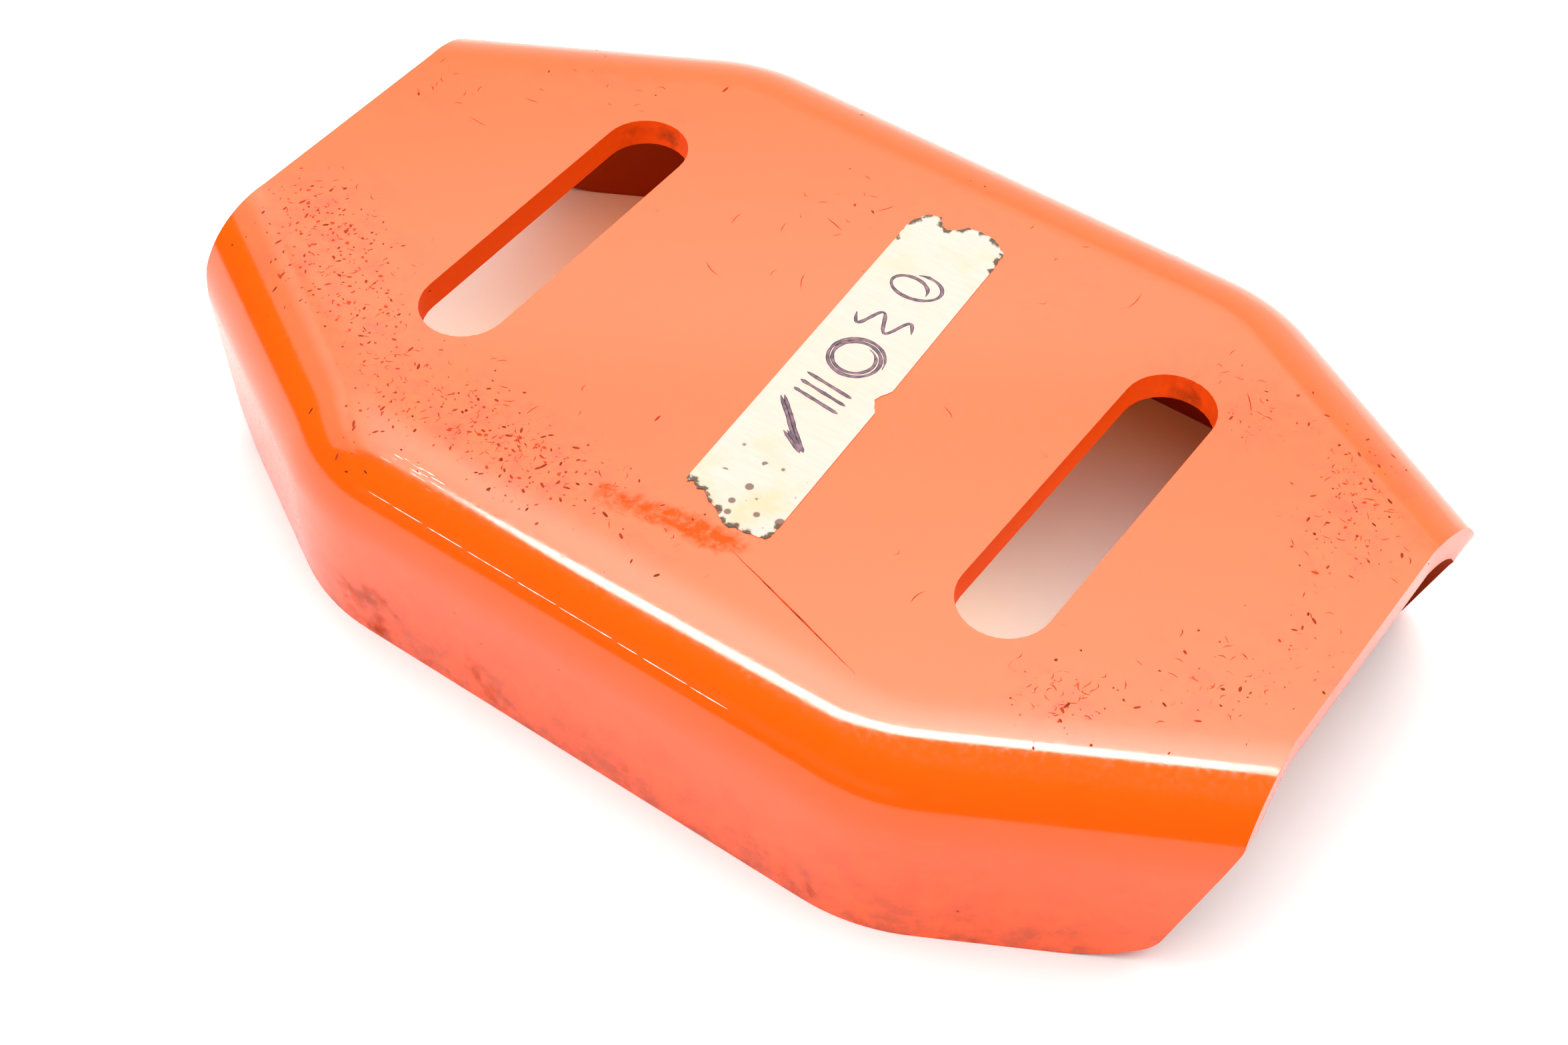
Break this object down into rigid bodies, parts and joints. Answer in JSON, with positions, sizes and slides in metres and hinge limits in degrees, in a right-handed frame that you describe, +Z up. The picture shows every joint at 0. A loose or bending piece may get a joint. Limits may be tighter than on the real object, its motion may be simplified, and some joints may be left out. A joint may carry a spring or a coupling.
{
  "type": "snow thrower skid shoe",
  "caption": "Reversible pressed-steel skid shoe for a snow thrower: a flat web with long bolt slots, ramped flanges down its sides and a strip of masking tape.",
  "frame": {"origin": "middle of the footprint, on the plane of the flanges' lower edges", "axes": "+X along the shoe, +Y across it, +Z up to the web's outer face"},
  "size_m": [0.1464, 0.0922, 0.0281],
  "materials": {
    "orange_enamel": "gloss enamel with light scuffs and rust freckles",
    "masking_tape": "matt creped paper, dirty at its torn ends"
  },
  "bodies": {
    "root": {"skid_shoe": "orange_enamel", "tape_label": "masking_tape"}
  },
  "joints": []
}
